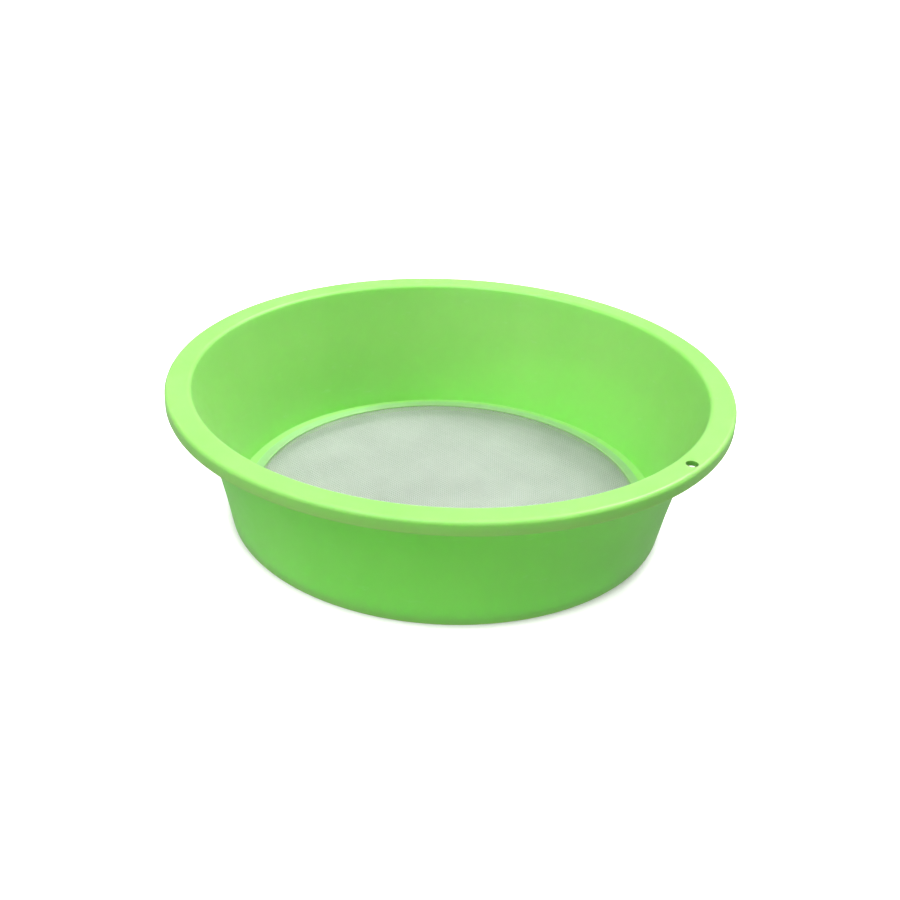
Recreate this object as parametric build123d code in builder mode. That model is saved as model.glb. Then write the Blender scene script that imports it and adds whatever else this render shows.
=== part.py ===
from build123d import *
import os

# Sifting pan: a round moulded pan whose bottom is a disc of woven wire.
# Origin at the centre of the foot, on the ground. +Z up, towards the mouth. Millimetres.

# ---------------------------------------------------------------- driving dimensions
pan_height = 86.5          # ground to the top of the rim
rim_radius = 168.3         # outside of the rim, 13 1/4 in across
mouth_radius = 153.6       # where the wall's inside and the flat rim would meet, before rounding
foot_radius = 132.9        # outside of the foot, at the ground

# rim
flange_thickness = 3.0
lip_height = 8.4           # the turned-down edge, from the top of the rim
lip_thickness = 2.0
lip_rounding = 2.3         # soft outer edge of the rim
lip_end_rounding = 0.7
mouth_rounding = 3.0
under_rim_fillet = 2.0
lip_inner_fillet = 0.5

# wall and foot
wall_at_mouth = 1.8        # wall, measured level
wall_at_ledge = 2.9
flare_height = 42.0        # the wall leans out a little more above this height
flare_inset = 3.2          # how far the wall lies inside a straight cone there
flare_rounding = 300.0     # one long easy curve, so no edge shows
foot_thickness = 3.0
foot_rounding = 1.2
wall_to_ledge_fillet = 0.8

# ledge that carries the screen
ledge_top = 7.0
ledge_thickness = 2.6
ledge_inner_radius = 119.3
ledge_edge_rounding = 0.5

# hang hole through the rim, at the right of the front
hang_hole_radius = 3.4
hang_hole_circle = 162.2
hang_hole_angle = -37.2

# woven screen: 20 wires to the inch
wire_pitch = 25.4 / 20
wire_radius = 0.2
wire_gap = 0.02            # between the two layers of wire
screen_radius = 122.4
screen_room = 0.9          # height between the ledge and the ring's clamping face

# ring that clamps the screen's edge on the ledge
ring_inner_radius = 118.5
ring_outer_radius = 124.6
ring_plate = 1.2
ring_skirt_inner_radius = 122.9
ring_edge_rounding = 0.5

# ---------------------------------------------------------------- worked-out dimensions
rim_top = pan_height
flange_under = rim_top - flange_thickness
lip_bottom = rim_top - lip_height
ledge_under = ledge_top - ledge_thickness
ring_bottom = ledge_top + screen_room
ring_top = ring_bottom + ring_plate
screen_height = ledge_top + screen_room / 2
layer_offset = wire_radius + wire_gap / 2
wire_count = 2 * int((screen_radius - 1) / wire_pitch) + 1

# Two cones make the wall, with an easy curve between them. Its inside runs from the ledge to the mouth.
outer_radius_at_rim = mouth_radius + wall_at_mouth
straight_slope = (outer_radius_at_rim - foot_radius) / flange_under
outer_radius_at_flare = foot_radius + straight_slope * flare_height - flare_inset
lower_slope = (outer_radius_at_flare - foot_radius) / flare_height
inner_radius_at_flare = outer_radius_at_flare - (wall_at_mouth + wall_at_ledge) / 2
inner_radius_at_ledge = foot_radius + lower_slope * ledge_top - wall_at_ledge
foot_inner_radius = foot_radius - foot_thickness


def corner(profile, radius, height):
    """The corner of a half section that is nearest to a radius and a height."""
    return profile.vertices().sort_by_distance((radius, height, 0))[0]


# ---------------------------------------------------------------- pan body
# One moulding: rim with its turned-down lip, wall, ledge and foot, turned about the axis.
with BuildPart() as pan_body:
    with BuildSketch(Plane.XZ) as body_section:
        with BuildLine():
            Polyline(
                (foot_inner_radius, 0),
                (foot_radius, 0),
                (outer_radius_at_flare, flare_height),
                (outer_radius_at_rim, flange_under),
                (rim_radius - lip_thickness, flange_under),
                (rim_radius - lip_thickness, lip_bottom),
                (rim_radius, lip_bottom),
                (rim_radius, rim_top),
                (mouth_radius, rim_top),
                (inner_radius_at_flare, flare_height),
                (inner_radius_at_ledge, ledge_top),
                (ledge_inner_radius, ledge_top),
                (ledge_inner_radius, ledge_under),
                (foot_inner_radius, ledge_under),
                close=True,
            )
        make_face()
        fillet(corner(body_section, rim_radius, rim_top), lip_rounding)
        fillet(corner(body_section, rim_radius, lip_bottom), lip_end_rounding)
        fillet(corner(body_section, rim_radius - lip_thickness, lip_bottom), lip_end_rounding)
        fillet(corner(body_section, rim_radius - lip_thickness, flange_under), lip_inner_fillet)
        fillet(corner(body_section, outer_radius_at_rim, flange_under), under_rim_fillet)
        fillet(corner(body_section, mouth_radius, rim_top), mouth_rounding)
        fillet(corner(body_section, outer_radius_at_flare, flare_height), flare_rounding)
        fillet(corner(body_section, inner_radius_at_flare, flare_height), flare_rounding)
        fillet(corner(body_section, inner_radius_at_ledge, ledge_top), wall_to_ledge_fillet)
        fillet(corner(body_section, ledge_inner_radius, ledge_top), ledge_edge_rounding)
        fillet(corner(body_section, ledge_inner_radius, ledge_under), ledge_edge_rounding)
        fillet(corner(body_section, foot_inner_radius, ledge_under), wall_to_ledge_fillet)
        fillet(corner(body_section, foot_inner_radius, 0), foot_rounding / 2)
        fillet(corner(body_section, foot_radius, 0), foot_rounding)
    revolve(axis=Axis.Z)
    with Locations(Plane.XY.offset(rim_top)):
        with PolarLocations(hang_hole_circle, 1, start_angle=hang_hole_angle):
            Hole(hang_hole_radius, depth=flange_thickness)

pan_body.part.label = "pan_body"

# ---------------------------------------------------------------- retaining ring
# A flat ring over the screen's edge, with an outer skirt that is welded down on the ledge.
with BuildPart() as retaining_ring:
    with BuildSketch(Plane.XZ) as ring_section:
        with BuildLine():
            Polyline(
                (ring_inner_radius, ring_bottom),
                (ring_skirt_inner_radius, ring_bottom),
                (ring_skirt_inner_radius, ledge_top),
                (ring_outer_radius, ledge_top),
                (ring_outer_radius, ring_top),
                (ring_inner_radius, ring_top),
                close=True,
            )
        make_face()
        fillet(corner(ring_section, ring_inner_radius, ring_top), ring_edge_rounding)
        fillet(corner(ring_section, ring_outer_radius, ring_top), ring_edge_rounding)
    revolve(axis=Axis.Z)

retaining_ring.part.label = "retaining_ring"


# ---------------------------------------------------------------- screen wires
def wire_layer(end_plane, height):
    """Parallel wires across the screen, cut off round where the disc was punched out.

    end_plane is the upright plane that the wires cross square on.
    """
    with BuildPart() as layer:
        with BuildSketch(end_plane):
            with Locations((0, height)):
                with GridLocations(wire_pitch, 1, wire_count, 1):
                    Circle(wire_radius)
        extrude(amount=screen_radius + 1, both=True)
        with Locations((0, 0, height)):
            Cylinder(screen_radius, 4 * wire_radius, mode=Mode.INTERSECT)
    return layer.part


warp_wires = wire_layer(Plane.XZ, screen_height + layer_offset)
warp_wires.label = "warp_wires"
weft_wires = wire_layer(Plane.YZ, screen_height - layer_offset)
weft_wires.label = "weft_wires"

# ---------------------------------------------------------------- files
os.makedirs("parts", exist_ok=True)
export_step(pan_body.part, "parts/pan_body.step")
export_step(retaining_ring.part, "parts/retaining_ring.step")
export_step(warp_wires, "parts/warp_wires.step")
export_step(weft_wires, "parts/weft_wires.step")
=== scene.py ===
import math

import bmesh
import bpy
import numpy as np
from mathutils import Matrix, Vector


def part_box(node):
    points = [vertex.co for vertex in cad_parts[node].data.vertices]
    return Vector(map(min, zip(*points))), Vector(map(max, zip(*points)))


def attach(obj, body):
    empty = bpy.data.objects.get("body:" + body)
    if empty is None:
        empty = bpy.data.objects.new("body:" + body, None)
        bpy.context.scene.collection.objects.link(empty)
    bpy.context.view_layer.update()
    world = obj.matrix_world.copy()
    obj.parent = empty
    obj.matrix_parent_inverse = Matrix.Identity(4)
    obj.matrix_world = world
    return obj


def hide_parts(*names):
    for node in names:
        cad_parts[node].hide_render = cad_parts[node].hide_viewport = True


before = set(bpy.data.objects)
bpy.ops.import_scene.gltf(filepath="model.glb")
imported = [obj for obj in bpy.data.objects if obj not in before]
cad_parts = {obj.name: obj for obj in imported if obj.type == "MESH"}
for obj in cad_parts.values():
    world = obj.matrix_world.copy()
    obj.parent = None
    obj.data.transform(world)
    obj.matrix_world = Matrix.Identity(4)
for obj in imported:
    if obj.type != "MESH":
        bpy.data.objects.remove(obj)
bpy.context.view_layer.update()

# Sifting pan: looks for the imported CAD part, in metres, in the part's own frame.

scene = bpy.context.scene

# ---------------------------------------------------------------- places read from the frame
MM = 0.001
body_low, body_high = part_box("pan_body")
ring_low, ring_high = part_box("retaining_ring")
warp_low, warp_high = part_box("warp_wires")
weft_low, weft_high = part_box("weft_wires")

RIM_TOP = body_high.z
PAN_RADIUS = (body_high.x - body_low.x) / 2
HOLE_CIRCLE, HOLE_ANGLE, HOLE_RADIUS = 0.1622, math.radians(-37.2), 0.0034
HOLE_CENTRE = (HOLE_CIRCLE * math.cos(HOLE_ANGLE), HOLE_CIRCLE * math.sin(HOLE_ANGLE))


# ---------------------------------------------------------------- material helpers
class Nodes:
    """A short way to write a node material: add nodes, join them, read their sockets."""

    def __init__(self, name):
        self.material = bpy.data.materials.new(name)
        self.material.use_nodes = True
        self.tree = self.material.node_tree
        self.shader = self.tree.nodes["Principled BSDF"]
        self.place = self.add("ShaderNodeTexCoord").outputs["Object"]

    def add(self, kind, **settings):
        node = self.tree.nodes.new(kind)
        for key, value in settings.items():
            setattr(node, key, value)
        return node

    def join(self, source, target):
        self.tree.links.new(source, target)

    def set(self, **settings):
        """Sets the shader's own sockets. An underscore in a name stands for a space."""
        for key, value in settings.items():
            self.shader.inputs[key.replace("_", " ")].default_value = value

    def drive(self, **sources):
        """Joins outputs to the shader's sockets. An underscore in a name stands for a space."""
        for key, source in sources.items():
            self.join(source, self.shader.inputs[key.replace("_", " ")])

    def noise(self, scale, detail=3.0, roughness=0.5, place=None):
        node = self.add("ShaderNodeTexNoise")
        node.inputs["Scale"].default_value = scale
        node.inputs["Detail"].default_value = detail
        node.inputs["Roughness"].default_value = roughness
        self.join(place or self.place, node.inputs["Vector"])
        return node.outputs["Fac"]

    def stretched(self, upright):
        """The place on the object, with heights scaled by a number."""
        node = self.add("ShaderNodeMapping")
        node.inputs["Scale"].default_value = (1.0, 1.0, upright)
        self.join(self.place, node.inputs["Vector"])
        return node.outputs["Vector"]

    def ramp(self, source, stops):
        node = self.add("ShaderNodeValToRGB")
        ramp = node.color_ramp
        while len(ramp.elements) < len(stops):
            ramp.elements.new(0.5)
        for element, (position, colour) in zip(ramp.elements, stops):
            element.position = position
            element.color = (*colour, 1.0)
        self.join(source, node.inputs["Fac"])
        return node.outputs["Color"]

    def multiply_add(self, first, factor, added=0.0):
        """The first value times a number, plus a value or a number."""
        node = self.add("ShaderNodeMath", operation="MULTIPLY_ADD")
        self.join(first, node.inputs[0])
        node.inputs[1].default_value = factor
        if isinstance(added, bpy.types.NodeSocket):
            self.join(added, node.inputs[2])
        else:
            node.inputs[2].default_value = added
        return node.outputs["Value"]

    def mix_value(self, first, second, share):
        """The first value, with a share of the second."""
        node = self.add("ShaderNodeMix", data_type="FLOAT")
        node.inputs["Factor"].default_value = share
        self.join(first, node.inputs["A"])
        self.join(second, node.inputs["B"])
        return node.outputs["Result"]

    def blend(self, colour, over, where, strength):
        """The colour, with another laid over it where a mask is white."""
        node = self.add("ShaderNodeMix", data_type="RGBA")
        self.join(self.multiply_add(where, strength), node.inputs["Factor"])
        self.join(colour, node.inputs["A"])
        node.inputs["B"].default_value = (*over, 1.0)
        return node.outputs["Result"]

    def vector(self, operation, first, second=None):
        node = self.add("ShaderNodeVectorMath", operation=operation)
        self.join(first, node.inputs[0])
        if second:
            node.inputs[1].default_value = second
        return node.outputs["Vector" if operation == "MULTIPLY" else "Value"]

    def to_range(self, source, low, high, start=0.0, end=1.0, steps="LINEAR"):
        """Turns start into low, end into high, and what lies between into what lies between."""
        node = self.add("ShaderNodeMapRange", interpolation_type=steps)
        node.inputs["From Min"].default_value = start
        node.inputs["From Max"].default_value = end
        node.inputs["To Min"].default_value = low
        node.inputs["To Max"].default_value = high
        self.join(source, node.inputs["Value"])
        return node.outputs["Result"]

    def bump(self, source, strength, distance, before=None):
        node = self.add("ShaderNodeBump")
        node.inputs["Strength"].default_value = strength
        node.inputs["Distance"].default_value = distance
        self.join(source, node.inputs["Height"])
        if before:
            self.join(before, node.inputs["Normal"])
        return node.outputs["Normal"]


# ---------------------------------------------------------------- materials
BLACK, WHITE = (0.0, 0.0, 0.0), (1.0, 1.0, 1.0)
BORE_PAINTED_SHADE = 0.35             # painted shade: how much of the plastic's colour is left inside the hang hole's bore


def near_hang_hole(m):
    """White on the side of the hang hole's bore, black everywhere else: where shade is painted."""
    flat = m.vector("MULTIPLY", m.place, (1, 1, 0))
    apart = m.vector("DISTANCE", flat, (*HOLE_CENTRE, 0))
    return m.to_range(apart, low=1.0, high=0.0, start=HOLE_RADIUS * 1.01, end=HOLE_RADIUS * 1.06)


def moulded_plastic(name, deep, mid, pale):
    """Slightly translucent moulded plastic, satin, with the small marks that a moulding has.

    The colour is cloudy where the melt flowed outwards from the middle. The surface has a fine
    even grain, long shallow flow waves, and light scuffs that dull the gloss and lift the colour
    a little. Inside the hang hole's bore the colour is darkened, as painted shade.
    """
    m = Nodes(name)
    cloud = m.noise(scale=9.0, detail=4.0, roughness=0.55)
    flow = m.noise(scale=30.0, detail=3.0, roughness=0.5, place=m.stretched(0.25))
    tone = m.mix_value(cloud, flow, share=0.35)
    colour = m.ramp(tone, [(0.3, deep), (0.5, mid), (0.7, pale)])
    scuff = m.noise(scale=75.0, detail=6.0, roughness=0.7, place=m.stretched(3.0))
    scuffed = m.ramp(scuff, [(0.60, BLACK), (0.76, WHITE)])
    chalky = [0.75 * c + 0.25 for c in pale]
    worn = m.blend(colour, chalky, scuffed, strength=0.22)
    # Painted shade: the colour inside the hang hole's bore is darkened to stand in for the shade
    # there.
    painted_bore_shade = [BORE_PAINTED_SHADE * c for c in deep]
    m.drive(Base_Color=m.blend(worn, painted_bore_shade, near_hang_hole(m), strength=0.9))
    dull = m.to_range(m.noise(scale=140.0, detail=5.0, roughness=0.6), low=0.36, high=0.50)
    m.drive(Roughness=m.multiply_add(scuffed, 0.12, dull))
    swell = m.noise(scale=22.0, detail=2.0, roughness=0.4, place=m.stretched(0.4))
    waves = m.bump(swell, strength=0.10, distance=0.0008)
    grain = m.noise(scale=1500.0, detail=2.0, roughness=0.6)
    m.drive(Normal=m.bump(grain, strength=0.18, distance=0.00012, before=waves))
    m.set(Specular_IOR_Level=0.4)
    m.set(Subsurface_Weight=1.0, Subsurface_Radius=(0.66, 1.0, 0.44), Subsurface_Scale=0.010)
    return m.material


def screen_steel():
    """Drawn stainless wire: light grey tinted green, the green being painted light reflected from
    the green plastic walls; a little darker in patches, with fine drawing marks.
    """
    m = Nodes("screen_steel")
    patch = m.noise(scale=35.0)
    # The green tint of both greys is a painted reflection of the green walls, not the steel's own
    # colour.
    m.drive(Base_Color=m.ramp(patch, [(0.3, (0.54, 0.61, 0.53)), (0.7, (0.63, 0.70, 0.62))]))
    m.drive(Roughness=m.to_range(m.noise(scale=900.0, detail=2.0), low=0.28, high=0.42))
    m.set(Metallic=1.0)
    return m.material


def floor_white():
    """Pale studio floor: a light table, lit from below around the pan, so its shadow is thin."""
    m = Nodes("floor_white")
    paleness = m.noise(scale=3.0)
    m.drive(Base_Color=m.ramp(paleness, [(0.3, (0.84,) * 3), (0.7, (0.86,) * 3)]))
    away = m.vector("LENGTH", m.place)
    lit = {"low": 0.0, "high": 0.72, "start": PAN_RADIUS * 0.77, "end": PAN_RADIUS * 0.83}
    m.drive(Emission_Strength=m.to_range(away, steps="SMOOTHSTEP", **lit))
    m.set(Emission_Color=(*WHITE, 1), Roughness=0.9, Specular_IOR_Level=0.1)
    return m.material


def surround_white():
    """The white studio wall behind everything. It only shows, and lights nothing."""
    m = Nodes("surround_white")
    m.set(Base_Color=(*BLACK, 1), Emission_Color=(*WHITE, 1), Emission_Strength=1.0)
    return m.material


green_plastic = moulded_plastic(
    "green_plastic", deep=(0.295, 0.70, 0.154), mid=(0.315, 0.72, 0.17), pale=(0.335, 0.74, 0.186)
)
ring_plastic = moulded_plastic(
    "ring_plastic", deep=(0.28, 0.665, 0.21), mid=(0.295, 0.685, 0.225), pale=(0.31, 0.705, 0.24)
)
wire_steel = screen_steel()

# ---------------------------------------------------------------- turned mouldings
TURN_STEPS = 360               # faces round the axis
ARC_STEP = math.radians(9)     # turn of a rounded corner from one ring of corners to the next
SUPPORT = 0.15                 # how far the extra rings of corners lie from a rounding, in mm
SHARP_ANGLE = math.radians(35)
DRILL_SIDES = 48


def linked(name, mesh):
    """A new object in the scene, from a mesh."""
    piece = bpy.data.objects.new(name, mesh)
    scene.collection.objects.link(piece)
    return piece


def mesh_piece(name, corners, faces, material):
    mesh = bpy.data.meshes.new(name)
    mesh.from_pydata(corners, [], faces)
    mesh.materials.append(material)
    return linked(name, mesh)


def rounded(outline):
    """Rounds a closed half section. Each corner is (radius, height, rounding), in millimetres.

    Every straight run gets a ring of corners close to each of its ends, which keeps it flat to
    the light.
    """
    points = []
    count = len(outline)
    for index, (r, z, rounding) in enumerate(outline):
        here = Vector((r, z))
        before = (Vector(outline[index - 1][:2]) - here).normalized()
        after = (Vector(outline[(index + 1) % count][:2]) - here).normalized()
        half = before.angle(after) / 2
        reach = rounding / math.tan(half)
        centre = here + (before + after).normalized() * (rounding / math.sin(half))
        first = math.atan2(*reversed(here + before * reach - centre))
        last = math.atan2(*reversed(here + after * reach - centre))
        swing = math.remainder(last - first, math.tau)
        steps = max(3, round(abs(swing) / ARC_STEP))
        points.append(here + before * (reach + SUPPORT))
        for k in range(steps + 1):
            a = first + swing * k / steps
            points.append(centre + rounding * Vector((math.cos(a), math.sin(a))))
        points.append(here + after * (reach + SUPPORT))
    return points


def turned(name, outline, material):
    """A solid of revolution about the pan's axis, from a closed half section."""
    section = rounded(outline)
    count = len(section)
    corners = []
    for k in range(TURN_STEPS):
        a = math.tau * k / TURN_STEPS
        corners += [(MM * p.x * math.cos(a), MM * p.x * math.sin(a), MM * p.y) for p in section]
    faces = []
    for k in range(TURN_STEPS):
        here, there = k * count, (k + 1) % TURN_STEPS * count
        for i in range(count):
            j = (i + 1) % count
            faces.append((here + i, there + i, there + j, here + j))
    return mesh_piece(name, corners, faces, material)


def drill(piece, centre, radius, low, high):
    """Cuts a round upright hole through a piece."""
    cutter_mesh = bpy.data.meshes.new("drill")
    work = bmesh.new()
    size = {"radius1": radius, "radius2": radius, "depth": high - low}
    bmesh.ops.create_cone(work, cap_ends=True, segments=DRILL_SIDES, **size)
    bmesh.ops.translate(work, verts=work.verts, vec=(*centre, (low + high) / 2))
    work.to_mesh(cutter_mesh)
    work.free()
    cutter = linked("drill", cutter_mesh)
    cut = piece.modifiers.new("cut", "BOOLEAN")
    cut.object = cutter
    cut.solver = "EXACT"
    shaped = piece.evaluated_get(bpy.context.evaluated_depsgraph_get())
    cut_mesh = bpy.data.meshes.new_from_object(shaped)
    piece.modifiers.clear()
    piece.data = cut_mesh
    bpy.data.objects.remove(cutter)


# The half sections repeat the CAD model's sizes, in millimetres.
height, rim, foot = RIM_TOP / MM, PAN_RADIUS / MM, 132.9
mouth, wall_at_mouth, wall_at_ledge = 153.6, 1.8, 2.9
flange, lip_height, lip_wall = 3.0, 8.4, 2.0
flare, flare_inset, easy_curve = 42.0, 3.2, 300.0
ledge_top, ledge_plate, ledge_inside = 7.0, 2.6, 119.3
foot_width, foot_rounding, foot_inner_rounding = 3.0, 1.2, 0.6
under_rim_fillet, lip_fillet, lip_end_rounding = 2.0, 0.5, 0.7
rim_rounding, mouth_rounding = 2.3, 3.0
ledge_fillet, ledge_edge_rounding = 0.8, 0.5

flange_under = height - flange
lip_end = height - lip_height
ledge_under = ledge_top - ledge_plate
outer_at_rim = mouth + wall_at_mouth
outer_at_flare = foot + (outer_at_rim - foot) * flare / flange_under - flare_inset
inner_at_flare = outer_at_flare - (wall_at_mouth + wall_at_ledge) / 2
inner_at_ledge = foot + (outer_at_flare - foot) * ledge_top / flare - wall_at_ledge

BODY_SECTION = (
    (foot - foot_width, 0, foot_inner_rounding),
    (foot, 0, foot_rounding),
    (outer_at_flare, flare, easy_curve),
    (outer_at_rim, flange_under, under_rim_fillet),
    (rim - lip_wall, flange_under, lip_fillet),
    (rim - lip_wall, lip_end, lip_end_rounding),
    (rim, lip_end, lip_end_rounding),
    (rim, height, rim_rounding),
    (mouth, height, mouth_rounding),
    (inner_at_flare, flare, easy_curve),
    (inner_at_ledge, ledge_top, ledge_fillet),
    (ledge_inside, ledge_top, ledge_edge_rounding),
    (ledge_inside, ledge_under, ledge_edge_rounding),
    (foot - foot_width, ledge_under, ledge_fillet),
)
body = turned("body", BODY_SECTION, green_plastic)
drill(body, HOLE_CENTRE, HOLE_RADIUS, low=RIM_TOP - 2 * flange * MM, high=RIM_TOP + flange * MM)

ring_inside, ring_outside, skirt_inside = 118.5, 124.6, 122.9
skirt_end, clamp, ring_top = ring_low.z / MM, 7.9, ring_high.z / MM
ring_rounding, crisp = 0.5, 0.1
RING_SECTION = (
    (ring_inside, clamp, crisp),
    (skirt_inside, clamp, crisp),
    (skirt_inside, skirt_end, crisp),
    (ring_outside, skirt_end, crisp),
    (ring_outside, ring_top, ring_rounding),
    (ring_inside, ring_top, ring_rounding),
)
ring = turned("ring", RING_SECTION, ring_plastic)

BODY_ROW = (body, "pan_body", "green_plastic")
RING_ROW = (ring, "retaining_ring", "ring_plastic")
for piece, node, slot in (BODY_ROW, RING_ROW):
    piece.data.shade_smooth()
    piece.data.set_sharp_from_angle(angle=SHARP_ANGLE)
    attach(piece, "root")
    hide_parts(node)

# ---------------------------------------------------------------- woven screen
SCREEN_HEIGHT = (weft_low.z + warp_high.z) / 2
SCREEN_RADIUS = (warp_high.y - warp_low.y) / 2
WIRE_RADIUS = (warp_high.z - warp_low.z) / 2
WIRE_PITCH = 0.0254 / 20
WIRE_SIDES = 4
HALF_COUNT = int((SCREEN_RADIUS - 1 * MM) / WIRE_PITCH)   # wires each side of the middle one
PIECES_PER_LAYER = 3
CLAMPED_RADIUS = 0.1175        # the ring holds the screen flat from here outwards
SLACK = 0.00035                # how far the free middle of the screen wanders up or down
SAG = 1.5 * SLACK              # how far it hangs down in the middle
# Slow ripples of the free middle: turns along x, turns along y, start, strength.
RIPPLES = ((31, 12, 0.7, 1.0), (-17, 38, 2.1, 0.8), (64, -41, 4.0, 0.5))


def slack_height(x, y):
    """The small ups and downs of the screen's free middle, none where it is clamped."""
    free = np.clip(1 - (x * x + y * y) / CLAMPED_RADIUS**2, 0, 1)
    ripple = sum(strength * np.sin(a * x + b * y + start) for a, b, start, strength in RIPPLES)
    return SLACK * np.sqrt(free) * ripple - SAG * free


def wire_piece(name, numbers, along_y):
    """One mesh of crimped wires. Wire n stands n pitches from the centre, and weaves over and under.

    A wire is a four-sided tube with a ring of corners at every crossing and half way between.
    """
    corners, faces = [], []
    turn = (np.arange(WIRE_SIDES) + 0.5) * math.tau / WIRE_SIDES
    across, up = np.cos(turn) * WIRE_RADIUS, np.sin(turn) * WIRE_RADIUS
    side = np.arange(WIRE_SIDES)
    next_side = (side + 1) % WIRE_SIDES
    crimp = WIRE_RADIUS if along_y else -WIRE_RADIUS
    made = 0
    for n in numbers:
        offset = n * WIRE_PITCH
        half = math.sqrt(SCREEN_RADIUS**2 - offset**2)
        steps = int(half / (WIRE_PITCH / 2))
        run = np.concatenate([[-half], np.arange(-steps, steps + 1) * WIRE_PITCH / 2, [half]])
        middle = SCREEN_HEIGHT + crimp * np.cos(math.pi * (run / WIRE_PITCH + n))
        middle = middle + (slack_height(offset, run) if along_y else slack_height(run, offset))
        rings = len(run)
        sideways = offset + np.broadcast_to(across, (rings, WIRE_SIDES))
        lengthwise = np.repeat(run[:, None], WIRE_SIDES, axis=1)
        upwards = middle[:, None] + up
        parts = (sideways, lengthwise, upwards) if along_y else (lengthwise, sideways, upwards)
        corners.append(np.stack(parts, axis=2).reshape(-1, 3))
        here = made + WIRE_SIDES * np.arange(rings - 1)[:, None]
        there = here + WIRE_SIDES
        quads = [here + side, here + next_side, there + next_side, there + side]
        faces.append(np.stack(quads, axis=2).reshape(-1, WIRE_SIDES))
        last = made + WIRE_SIDES * (rings - 1)
        faces.append(np.array([made + side[::-1], last + side]))
        made += WIRE_SIDES * rings
    corner_list, face_list = np.concatenate(corners).tolist(), np.concatenate(faces).tolist()
    piece = mesh_piece(name, corner_list, face_list, wire_steel)
    piece.data.shade_smooth()
    return piece


def weave(layer, along_y):
    """All the wires of one direction, in a few pieces so that none is too heavy."""
    numbers = np.arange(-HALF_COUNT, HALF_COUNT + 1)
    for index, group in enumerate(np.array_split(numbers, PIECES_PER_LAYER)):
        piece = wire_piece(f"{layer}_{index + 1}", group.tolist(), along_y)
        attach(piece, "root")
        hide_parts(layer)


weave("warp_wires", along_y=True)
weave("weft_wires", along_y=False)

# ---------------------------------------------------------------- camera
FRAME_PIXELS = 900
FOCAL_PIXELS = 1236.0
PITCH, ROLL = math.radians(28.0), math.radians(-2.63)
DISTANCE = 4.397 * PAN_RADIUS
# How far the rim's centre stands off the view's axis, as a share of the distance:
SIDE_SHIFT, UP_SHIFT = 0.0015, 0.0603

sideways = Vector((1, 0, 0))
level_up = Vector((0, math.sin(PITCH), math.cos(PITCH)))
ahead = Vector((0, math.cos(PITCH), -math.sin(PITCH)))
right = math.cos(ROLL) * sideways - math.sin(ROLL) * level_up
up = math.sin(ROLL) * sideways + math.cos(ROLL) * level_up
camera_data = bpy.data.cameras.new("camera")
camera_data.sensor_width = 36.0
camera_data.lens = FOCAL_PIXELS / FRAME_PIXELS * camera_data.sensor_width
camera = linked("camera", camera_data)
camera_place = Vector((0, 0, RIM_TOP)) - DISTANCE * (ahead + SIDE_SHIFT * right + UP_SHIFT * up)
camera_turn = Matrix((right, up, -ahead)).transposed().to_4x4()
camera.matrix_world = Matrix.Translation(camera_place) @ camera_turn
scene.camera = camera

# ---------------------------------------------------------------- floor and light
STUDIO_RADIUS, STUDIO_HEIGHT, STUDIO_SIDES = 9.0, 8.0, 64
LIGHT_FROM_ABOVE = 0.22
LIGHT_FROM_BELOW = 0.47
HORIZON_BLUR = 0.2


def stage_piece(name, corners, faces, material):
    """Part of the studio, which isn't part of the object. No light bounces from it onto the pan."""
    piece = mesh_piece(name, corners, faces, material)
    piece.visible_diffuse = False
    piece.visible_glossy = False
    return piece


studio_angles = [math.tau * k / STUDIO_SIDES for k in range(STUDIO_SIDES)]
low_edge = [(STUDIO_RADIUS * math.cos(a), STUDIO_RADIUS * math.sin(a), 0.0) for a in studio_angles]
high_edge = [(x, y, STUDIO_HEIGHT) for x, y, _ in low_edge]
stage_piece("floor", low_edge, [tuple(range(STUDIO_SIDES))], floor_white())
following = [(k + 1) % STUDIO_SIDES for k in range(STUDIO_SIDES)]
wall_faces = [(k, k + STUDIO_SIDES, n + STUDIO_SIDES, n) for k, n in enumerate(following)]
surround = stage_piece("surround", low_edge + high_edge, wall_faces, surround_white())
surround.visible_shadow = False


def sun(name, azimuth, elevation, softness, light_level):
    """Even soft light from one side. Azimuth runs from +X to +Y. Softness is the width in degrees.

    A light level of 1 lights a surface that faces it as much as an all-round white sky would.
    """
    data = bpy.data.lights.new(name, "SUN")
    data.angle = math.radians(softness)
    data.energy = light_level * math.pi
    light = linked(name, data)
    a, e = math.radians(azimuth), math.radians(elevation)
    outward = Vector((math.cos(a) * math.cos(e), math.sin(a) * math.cos(e), math.sin(e)))
    light.location = outward
    light.rotation_mode = "QUATERNION"
    light.rotation_quaternion = outward.to_track_quat("Z", "Y")


sun("overhead", azimuth=233, elevation=65, softness=50, light_level=0.94)
sun("back", azimuth=42, elevation=51, softness=12, light_level=0.80)

world = bpy.data.worlds.new("world")
world.use_nodes = True
sky = world.node_tree
direction = sky.nodes.new("ShaderNodeTexCoord").outputs["Generated"]
split = sky.nodes.new("ShaderNodeSeparateXYZ")
level = sky.nodes.new("ShaderNodeMapRange")
level.inputs["From Min"].default_value = -HORIZON_BLUR
level.inputs["From Max"].default_value = HORIZON_BLUR
level.inputs["To Min"].default_value = LIGHT_FROM_BELOW
level.inputs["To Max"].default_value = LIGHT_FROM_ABOVE
sky.links.new(direction, split.inputs["Vector"])
sky.links.new(split.outputs["Z"], level.inputs["Value"])
sky.links.new(level.outputs["Result"], sky.nodes["Background"].inputs["Strength"])
sky.nodes["Background"].inputs["Color"].default_value = (*WHITE, 1)
scene.world = world
scene.view_settings.view_transform = "Standard"
